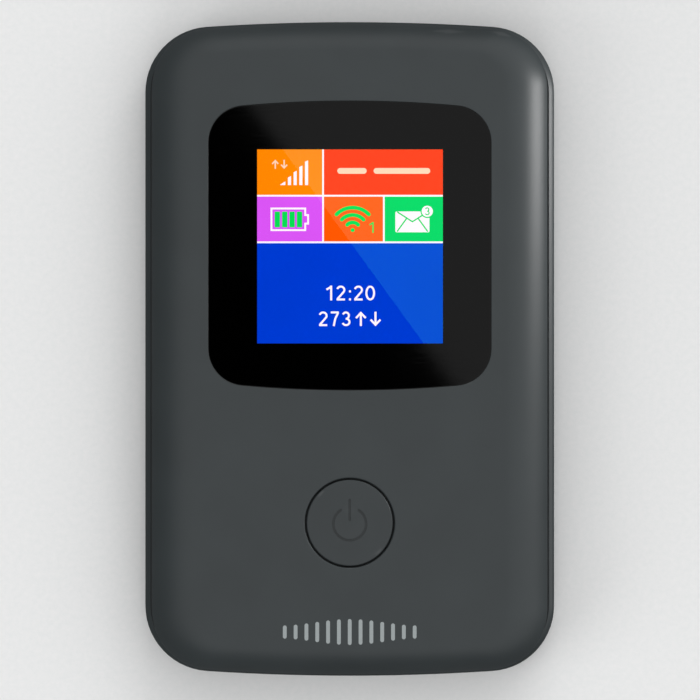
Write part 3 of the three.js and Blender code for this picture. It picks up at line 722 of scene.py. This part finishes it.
def back_cover():
    """The dished back: a rolled lower edge and an upper rim that curves in to the seam."""
    layers = [(bowed(CASE, BACK_ROLL + FACE_RING), 0.0)]
    outer_steps = 16
    for i in range(outer_steps + 1):
        angle = math.pi / 2 * i / outer_steps
        moved = BACK_ROLL * (1 - math.sin(angle))
        layers.append((bowed(CASE, moved), BACK_DROP * (1 - math.cos(angle))))
    rim_steps = 8
    centre_in = RIM["width"] + RIM["radius"] * math.sin(RIM["inner"])
    centre_z = SEAM_LOW - RIM["radius"] * math.cos(RIM["inner"])
    rim = []
    for i in range(rim_steps + 1):
        tilt = RIM["outer"] + (RIM["inner"] - RIM["outer"]) * i / rim_steps
        inset = centre_in - RIM["radius"] * math.sin(tilt)
        rim.append((bowed(CASE, inset), centre_z + RIM["radius"] * math.cos(tilt)))
    layers += fillet(CASE, centre_in - RIM["radius"] * math.sin(RIM["outer"]), rim[0][1], RIM["outer"])
    layers += rim
    layers.append((bowed(CASE, RIM["width"] + 0.03), SEAM_LOW - 0.02))
    layers.append((bowed(CASE, RIM["width"] + 0.05), SEAM_LOW - GROOVE))
    layers.append((bowed(CASE, BACK_WALL), SEAM_LOW - GROOVE))
    inner_steps = 8
    inner_roll, inner_drop = BACK_ROLL - 0.8, BACK_DROP - 1
    for i in range(inner_steps + 1):
        angle = math.pi / 2 * i / inner_steps
        moved = BACK_WALL + inner_roll * (1 - math.cos(angle))
        layers.append((bowed(CASE, moved), BACK_WALL + inner_drop * (1 - math.sin(angle))))
    layers.append((bowed(CASE, BACK_WALL + inner_roll + FACE_RING), BACK_WALL))
    cover = loft("back_cover_shell", layers)
    notch_outline = rounded(9, 3, 1.2, -17, -LENGTH / 2)
    notch = loft("nail_notch", [(notch_outline, SEAM_LOW - 0.9), (notch_outline, SEAM_LOW + 1)])
    carve(cover, notch, usb_cutter("port", SEAM_LOW - 0.75, SEAM_LOW + 3))
    smooth(cover)
    dress(cover, SHELL, "back_cover", "shell", "back_cover")


def clip_beads():
    """The beads inside the rim that clip into the housing."""
    for row, y in enumerate((-28, 0, 28)):
        for side, name in ((-1, "left"), (1, "right")):
            x = side * (WIDTH / 2 - BACK_WALL + 0.02)
            thin, thick = rounded(0.1, 5.2, 0.04, x, y, 3), rounded(0.36, 5.8, 0.15, x, y, 3)
            depths = ((thin, 1.35), (thick, 1.1), (thick, 0.9), (thin, 0.6))
            layers = [(outline, SEAM_LOW - depth) for outline, depth in depths]
            bead = loft(f"clip_bead_{name}_{row + 1}", layers)
            smooth(bead, 50)
            dress(bead, SHELL, "back_cover", "shell")


# ------------------------------------------------------------------ lens


def display_lens():
    """The black border of the lens and its clear window, one flush plate."""
    low, high = lens_low.z / MM, lens_high.z / MM
    rings = [(0.0, low)] + quarter_round(LENS_LIP, high, 5) + [(LENS_LIP + 0.02, high)]
    placed = [
        ([(x, y + LENS_CENTRE_Y) for x, y in bowed(LENS, inset)], z) for inset, z in rings
    ]
    border = loft("lens_border", placed)
    margin, gap = 0.04, 0.01

    def window_outline(grow):
        return rounded(
            PICTURE["width"] + 2 * grow,
            PICTURE["length"] + 2 * grow,
            0.06 + grow,
            PICTURE["x"],
            PICTURE["y"],
        )

    hole = loft("lens_hole", [(window_outline(margin), z) for z in (low - 1, high + 1)])
    carve(border, hole)
    smooth(border)
    dress(border, LENS_BLACK, "housing", "lens", "display_lens")
    pane = loft("lens_window", [(window_outline(margin - gap), z) for z in (low, high)])
    dress(pane, WINDOW_CLEAR, "housing", "lens")
    pane.data.materials.append(PANE_EDGE)
    for face in pane.data.polygons:
        if abs(face.normal.z) < 0.5:
            face.material_index = 1


# ------------------------------------------------------------------ picture on the display

LAYER = 0.02
LAYER_THICKNESS = LAYER * 0.8
PICTURE_Z = lens_low.z / MM - 9 * LAYER
LEFT = PICTURE["x"] - PICTURE["width"] / 2
RIGHT = PICTURE["x"] + PICTURE["width"] / 2
PICTURE_TOP = PICTURE["y"] + PICTURE["length"] / 2
PICTURE_BOTTOM = PICTURE["y"] - PICTURE["length"] / 2
ROW_1 = PICTURE_TOP - 6.79
ROW_2 = PICTURE_TOP - 13.62
COLUMN_LEFT = -3.91
COLUMN_RIGHT = 5.0
DIVIDER = 0.26


def show(name, loops, material, layer=1):
    """A shape on the display, drawn on the given layer over the panel."""
    low = PICTURE_Z + layer * LAYER
    piece = flat_mesh(name, loops, low, low + LAYER_THICKNESS)
    dress(piece, material, "housing", "panel_glass")


def show_strokes(name, paths, width, material, layer=2):
    """Strokes on the display, drawn on the given layer over the panel."""
    low = PICTURE_Z + layer * LAYER
    piece = ribbons(name, paths, width, low, low + LAYER_THICKNESS)
    dress(piece, material, "housing", "panel_glass")


def bend(cx, cy, across, up, start, end):
    """Part of an ellipse between two angles in degrees."""
    turns = arc(0, 0, 1, math.radians(start), math.radians(end), 16)
    return [(cx + across * x, cy + up * y) for x, y in turns]


DIGITS = {
    "0": [bend(0.33, 0.5, 0.26, 0.435, 90, 270), bend(0.33, 0.5, 0.26, 0.435, 270, 450)],
    "1": [[(0.46, 0), (0.46, 1)], [(0.14, 0.73), (0.46, 0.92)]],
    "2": [bend(0.32, 0.71, 0.24, 0.225, 165, -35) + [(0.1, 0.1)], [(0.04, 0.065), (0.6, 0.065)]],
    "3": [bend(0.3, 0.72, 0.21, 0.215, 160, -90), bend(0.31, 0.285, 0.24, 0.22, 95, -160)],
    "7": [[(0.06, 0.935), (0.6, 0.935)], [(0.56, 0.91), (0.36, 0.5), (0.26, 0)]],
    ":": [[(0.15, 0), (0.15, 0.14)], [(0.15, 0.54), (0.15, 0.68)]],
}


def write(name, digits, height, x, y, material, layer=2):
    """Plain digits of that height, from a left end and a base line."""
    paths = []
    for digit in digits:
        paths += [[(x + px * height, y + py * height) for px, py in path] for path in DIGITS[digit]]
        x += height * (0.4 if digit == ":" else 0.79)
    weight = 0.135
    show_strokes(name, paths, weight * height, material, layer)


def arrows(name, up_x, down_x, cy, height, width, material):
    """An arrow up and an arrow down."""
    for end, x, way in (("up", up_x, 1), ("down", down_x, -1)):
        tip = cy + way * (height / 2 - width * 0.6)
        wing = tip - way * height * 0.36
        shaft = [(x, cy - way * height / 2), (x, tip)]
        head = [(x - height * 0.34, wing), (x, tip), (x + height * 0.34, wing)]
        show_strokes(f"icon_{name}_{end}", [shaft, head], width, material)


def box_loop(x0, y0, x1, y1):
    """The corners of an upright rectangle."""
    return [(x0, y0), (x1, y0), (x1, y1), (x0, y1)]


def display_glass():
    """The panel's raised glass, which brings the picture up through the front's window."""
    low, edge = panel_high.z / MM, 0.1
    high = PICTURE_Z + 0.5 * LAYER
    width, length = WINDOW["width"] - 0.4, WINDOW["length"] - 0.4
    layers = [
        (rounded(width - 2 * inset, length - 2 * inset, 0.5 - inset, 0, PICTURE["y"]), z)
        for inset, z in ((0, low), (0, high - edge), (edge * 0.3, high - edge * 0.3), (edge, high))
    ]
    glass = loft("display_glass", layers)
    smooth(glass)
    dress(glass, MASK, "housing", "panel_glass")


def tiles():
    """The picture's six coloured tiles and the white lines between them."""
    half = DIVIDER / 2
    show("tile_signal", [box_loop(LEFT, ROW_1 + half, COLUMN_LEFT - half, PICTURE_TOP)], ORANGE)
    show("tile_network", [box_loop(COLUMN_LEFT + half, ROW_1 + half, RIGHT, PICTURE_TOP)], SCARLET)
    low, high = ROW_2 + half, ROW_1 - half
    show("tile_battery", [box_loop(LEFT, low, COLUMN_LEFT - half, high)], PURPLE)
    show("tile_wireless", [box_loop(COLUMN_LEFT + half, low, COLUMN_RIGHT - half, high)], AMBER)
    show("tile_messages", [box_loop(COLUMN_RIGHT + half, low, RIGHT, high)], GREEN)
    show("tile_usage", [box_loop(LEFT, PICTURE_BOTTOM, RIGHT, ROW_2 - half)], BLUE)
    show("divider_row_1", [box_loop(LEFT, ROW_1 - half, RIGHT, ROW_1 + half)], LIT_WHITE)
    show("divider_row_2", [box_loop(LEFT, ROW_2 - half, RIGHT, ROW_2 + half)], LIT_WHITE)
    column = [
        box_loop(COLUMN_LEFT - half, ROW_1 + half, COLUMN_LEFT + half, PICTURE_TOP),
        box_loop(COLUMN_LEFT - half, low, COLUMN_LEFT + half, high),
    ]
    show("divider_column_1", column, LIT_WHITE)
    column = [box_loop(COLUMN_RIGHT - half, low, COLUMN_RIGHT + half, high)]
    show("divider_column_2", column, LIT_WHITE)


def signal_icon():
    """A wedge cut into five bars, and two small arrows for traffic."""
    base = PICTURE_TOP - 5.23
    pitch, width, rise = 0.835, 0.46, 0.77
    bars = []
    for i in range(5):
        right = LEFT + 4.13 + i * pitch
        top = base + 0.56 + rise * i
        left = right - (0.75 if i == 0 else width)
        slope = 0.5 if i == 0 else 0.22
        bars.append([(left, base), (right, base), (right, top), (left, top - slope)])
    show("icon_signal_bars", bars, LIT_WHITE, 2)
    arrows("traffic", LEFT + 2.65, LEFT + 3.95, base + 3.05, 1.3, 0.2, CREAM)


def network_icon():
    """Two plain rounded bars where a network's name would be."""
    y = PICTURE_TOP - 3.15
    height, corner = 0.85, 0.42
    show("network_bar_1", [rounded(4.3, height, corner, 0.33, y)], CREAM, 2)
    show("network_bar_2", [rounded(8.3, height, corner, 7.65, y)], CREAM, 2)


def battery_icon():
    """A battery outline with four filled cells."""
    cx, cy = LEFT + 4.57, PICTURE_TOP - 10.25
    half_width, half_height = 2.61, 1.72
    nub_reach, nub_half = 0.42, 0.76

    def outline(inset):
        right, top = half_width - inset, half_height - inset
        nub, nub_top = half_width + nub_reach - inset, nub_half - inset
        upper = [(nub, nub_top), (right, nub_top), (right, top), (-right, top)]
        lower = [(x, -y) for x, y in reversed(upper)]
        return [(cx + x, cy + y) for x, y in upper + lower]

    show("icon_battery_outline", [outline(0), outline(0.27)], LIT_WHITE, 2)
    cells = [rounded(0.78, 2.3, 0.12, cx - 1.62 + i * 1.085, cy - 0.02, 3) for i in range(4)]
    show("icon_battery_cells", cells, LEAF, 2)


def wireless_icon():
    """A dot under three arcs, and the number of users."""
    cx, cy = 0.43, PICTURE_TOP - 11.83
    show("icon_wireless_dot", [circle(0.29, cx, cy, 24)], LEAF, 2)
    spread = math.radians(46)
    arcs = [
        arc_stroke(cx, cy, radius, math.pi / 2 - spread, math.pi / 2 + spread, 0.55)
        for radius in (1.12, 2.22, 3.3)
    ]
    show("icon_wireless_arcs", arcs, LEAF, 2)
    write("number_users", "1", 1.6, cx + 2.25, cy - 0.4, LEAF)


def message_icon():
    """An envelope with a round badge."""
    cx, cy = COLUMN_RIGHT + 4.19, PICTURE_TOP - 10.62
    half_width, half_height = 2.5, 1.53
    show("icon_envelope", [rounded(2 * half_width, 2 * half_height, 0.22, cx, cy)], LIT_WHITE, 2)
    left, right = cx - half_width + 0.25, cx + half_width - 0.25
    top, bottom = cy + half_height - 0.05, cy - half_height + 0.1
    folds = [
        [(left, top), (cx, cy + 0.02), (right, top)],
        [(cx - 0.85, cy + 0.5), (left, bottom)],
        [(cx + 0.85, cy + 0.5), (right, bottom)],
    ]
    show_strokes("icon_envelope_folds", folds, 0.2, GREEN, 3)
    bx, by = cx + half_width - 0.32, cy + half_height + 0.02
    show("icon_badge_edge", [circle(1.0, bx, by, 40)], GREEN, 4)
    show("icon_badge", [circle(0.82, bx, by, 40)], LIT_WHITE, 5)
    write("number_messages", "3", 1.15, bx - 0.36, by - 0.575, GREEN, 6)


def usage_icon():
    """The time, and the data used with an up and a down arrow."""
    write("number_time", "12:20", 2.17, LEFT + 9.85, PICTURE_BOTTOM + 6.3, LIT_WHITE)
    write("number_usage", "273", 2.14, LEFT + 8.98, PICTURE_BOTTOM + 2.54, LIT_WHITE)
    arrows("usage", LEFT + 15.2, LEFT + 17.35, PICTURE_BOTTOM + 3.6, 2.1, 0.3, LIT_WHITE)


# ------------------------------------------------------------------ power button


def power_button():
    """A flat round cap with a softened edge, a flange and post behind, and a sunk power symbol whose floor
    is a darker sheet of painted shade.
    """
    low, top = button_low.z / MM, button_high.z / MM
    radius, lip = BUTTON_RADIUS, 0.2
    post, hollow, hollow_top = 1.5, 5.2, 12.9
    flange_low, flange_high = 11.35, 11.95
    profile = [(0.02, low), (post, low), (post, hollow_top), (hollow, hollow_top)]
    profile += [(hollow, flange_low), (BUTTON_FLANGE, flange_low), (BUTTON_FLANGE, flange_high)]
    profile.append((radius, flange_high))
    profile += [(radius - inset, z) for inset, z in quarter_round(lip, top, 6)]
    profile.append((radius - lip - FACE_RING, top))
    layers = [(circle(r, 0, BUTTON_CENTRE_Y), z) for r, z in profile]
    cap = loft("power_button_cap", layers)
    stroke = 0.36
    ring_y = BUTTON_CENTRE_Y - 0.15
    ring_radius = 2.4
    gap = math.radians(34)
    start, end = math.pi / 2 + gap, math.pi * 2.5 - gap
    ring = arc_stroke(0, ring_y, ring_radius, start, end, stroke, 72)
    bar = rounded(stroke, 3.2, stroke / 2 - 0.001, 0, ring_y + 2.05)
    depth = 0.12
    for name, outline in (("symbol_ring", ring), ("symbol_bar", bar)):
        cutter = loft("cutter_" + name, [(outline, top - depth), (outline, top + 1)])
        carve(cap, cutter)
        # A darker sheet on each recess floor: painted shade in the sunk symbol.
        floor = flat_mesh("power_" + name, [outline], top - depth - 0.02, top - depth + 0.01)
        dress(floor, SYMBOL_SHADE, "power_button", "shell")
    smooth(cap)
    dress(cap, BUTTON, "power_button", "shell", "power_button")


# ------------------------------------------------------------------ battery


def battery_marks():
    """A plus and a minus on the wrap, each beside its end pad."""
    cell_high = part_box("battery_cell")[1]
    height = cell_high.z / MM
    size, stroke = 1.9, 0.42
    y = cell_high.y / MM - 3.2
    for name, pad, upright in (("plus", "battery_pad_1", True), ("minus", "battery_pad_3", False)):
        pad_low, pad_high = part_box(pad)
        x = (pad_low.x + pad_high.x) / 2 / MM
        paths = [[(x - size / 2, y), (x + size / 2, y)]]
        if upright:
            paths.append([(x, y - size / 2), (x, y + size / 2)])
        mark = ribbons(f"battery_{name}", paths, stroke, height - PRINT_DEPTH, height + PRINT_RISE)
        dress(mark, INK, "battery", "cell")


# ------------------------------------------------------------------ printed mark


def printed_mark():
    """A plain row of round-ended bars, taller towards the middle, printed below the button."""
    cy, total, bars = -41.5, 19.6, 13
    width, shortest, swell = 0.56, 1.9, 1.9
    pitch = (total - width) / (bars - 1)
    loops = []
    for i in range(bars):
        offset = i - (bars - 1) / 2
        height = shortest + swell * math.cos(offset / bars * math.pi) ** 2
        loops.append(rounded(width, height, width / 2 - 0.001, offset * pitch, cy))
    mark = flat_mesh("printed_mark", loops, TOP - PRINT_DEPTH, TOP + PRINT_RISE)
    dress(mark, INK, "housing", "shell")


# ------------------------------------------------------------------ camera, floor and lights


def aim(thing, target):
    """Turns a lamp so that it faces the target."""
    direction = Vector(target) - thing.location
    thing.rotation_euler = direction.to_track_quat("-Z", "Y").to_euler()


def add_camera():
    """A long lens straight above the face."""
    camera = bpy.data.cameras.new("camera")
    camera.sensor_width = SENSOR
    camera.lens = SENSOR * CAMERA_DISTANCE / (VIEW_WIDTH * MM)
    camera.clip_start = 0.01
    camera.clip_end = 20
    holder = bpy.data.objects.new("camera", camera)
    bpy.context.scene.collection.objects.link(holder)
    holder.location = (CAMERA_CENTRE[0] * MM, CAMERA_CENTRE[1] * MM, CAMERA_HEIGHT)
    bpy.context.scene.camera = holder


def add_floor():
    """A wide sheet of pale paper."""
    floor = sheet("floor", box_loop(-FLOOR_HALF, -FLOOR_HALF, FLOOR_HALF, FLOOR_HALF), cad_low.z)
    m = Material("floor_paper")
    fibre = m.noise(0.8, 4, 0.6)
    m.feed("Base Color", m.blend(m.spread(fibre, 0, 1), (0.76, 0.77, 0.77), (0.8, 0.8, 0.8)))
    m.set(Roughness=0.8)
    m.bump((fibre, 0.01))
    floor.data.materials.append(m.material)
    floor.visible_glossy = False


def add_softbox(name, place, target, width, height, radiance):
    """A rectangular lamp that gives the radiance and isn't seen itself."""
    lamp = bpy.data.lights.new(name, "AREA")
    lamp.shape = "RECTANGLE"
    lamp.size = width
    lamp.size_y = height
    lamp.energy = radiance * math.pi * width * height
    holder = bpy.data.objects.new(name, lamp)
    bpy.context.scene.collection.objects.link(holder)
    holder.location = place
    holder.visible_camera = False
    aim(holder, target)
    return holder


def add_reflector():
    """A dim card above the camera, whose slanting edge shows in the lens as a glare."""
    height = CAMERA_DISTANCE + 0.2
    grow = 1 + (height - lens_high.z) / (CAMERA_HEIGHT - lens_high.z)
    upper = Vector(GLARE_UPPER) * MM * grow
    lower = Vector(GLARE_LOWER) * MM * grow
    along = (lower - upper).normalized()
    across = Vector((-along.y, along.x))
    if across.x < 0:
        across = -across
    spare, depth = 0.2, 0.4
    start = upper - along * spare
    end = lower + along * spare
    card = sheet("reflector_card", [start, end, end + across * depth, start + across * depth], height)
    m = Material("reflector_glow")
    m.set(Base_Color=(0, 0, 0, 1), Emission_Color=(1, 1, 1, 1), Emission_Strength=GLARE_RADIANCE)
    card.data.materials.append(m.material)
    card.visible_camera = False
    card.visible_diffuse = False
    card.visible_shadow = False


def add_world():
    """A broad pale sky to the right and the top edge, dark straight overhead where the camera stands."""
    world = bpy.data.worlds.new("studio")
    world.use_nodes = True
    nodes, links = world.node_tree.nodes, world.node_tree.links
    background = nodes["Background"]
    background.inputs["Color"].default_value = (1, 1, 1, 1)
    direction = nodes.new("ShaderNodeTexCoord").outputs["Generated"]

    def ramp(toward_way, low, high, dim, bright):
        """From dim to bright as a direction comes closer to that way; low and high are cosines."""
        product = nodes.new("ShaderNodeVectorMath")
        product.operation = "DOT_PRODUCT"
        product.inputs[1].default_value = Vector(toward_way).normalized()
        links.new(direction, product.inputs[0])
        node = nodes.new("ShaderNodeMapRange")
        node.interpolation_type = "SMOOTHSTEP"
        node.inputs["From Min"].default_value = low
        node.inputs["From Max"].default_value = high
        node.inputs["To Min"].default_value = dim
        node.inputs["To Max"].default_value = bright
        links.new(product.outputs["Value"], node.inputs["Value"])
        return node.outputs["Result"]

    sky = ramp(SKY_WAY, 0.0, 0.7, SKY_DIM, SKY_BRIGHT)
    hole = ramp((0, 0, 1), math.cos(SKY_HOLE["outer"]), math.cos(SKY_HOLE["inner"]), 1.0, 0.0)
    product = nodes.new("ShaderNodeMath")
    product.operation = "MULTIPLY"
    links.new(sky, product.inputs[0])
    links.new(hole, product.inputs[1])
    links.new(product.outputs["Value"], background.inputs["Strength"])
    bpy.context.scene.world = world


def toward(azimuth, elevation):
    """A place at the lamps' distance; azimuth 0 is +X and 90 is +Y."""
    a, e = math.radians(azimuth), math.radians(elevation)
    return (
        LAMP_DISTANCE * math.cos(a) * math.cos(e),
        LAMP_DISTANCE * math.sin(a) * math.cos(e),
        LAMP_DISTANCE * math.sin(e),
    )


def add_lights():
    """Broad lamps that the plastic doesn't mirror, and a small one low beside the upper right edge.

    The two lowest lamps don't light the floor."""
    target = (0, 0, cad_high.z / 2)
    lamps = {}
    for name, place, height, radiance in (
        ("key", toward(72, 38), LAMP_SIZE, KEY),
        ("fill", toward(205, 32), LAMP_SIZE, FILL),
        ("front_fill", toward(270, 25), LAMP_SIZE, FRONT_FILL),
        ("rear_fill", toward(95, 18), LOW_LAMP_HEIGHT, REAR_FILL),
    ):
        lamps[name] = add_softbox(name, place, target, LAMP_SIZE, height, radiance)
        lamps[name].visible_glossy = False
    edge = add_softbox("edge_right", EDGE_PLACE, EDGE_TARGET, *EDGE_SIZE, EDGE)
    kept_dark = bpy.data.collections.new("not_lit_by_low_lamps")
    kept_dark.objects.link(bpy.data.objects["floor"])
    kept_dark.collection_objects[0].light_linking.link_state = "EXCLUDE"
    for lamp in (edge, lamps["rear_fill"]):
        lamp.light_linking.receiver_collection = kept_dark


# ------------------------------------------------------------------ the scene

bpy.context.scene.view_settings.view_transform = "Standard"
add_camera()
finish_cad_nodes()
front_cover()
back_cover()
clip_beads()
display_lens()
display_glass()
tiles()
signal_icon()
network_icon()
battery_icon()
wireless_icon()
message_icon()
usage_icon()
power_button()
battery_marks()
printed_mark()
add_floor()
add_world()
add_lights()
add_reflector()
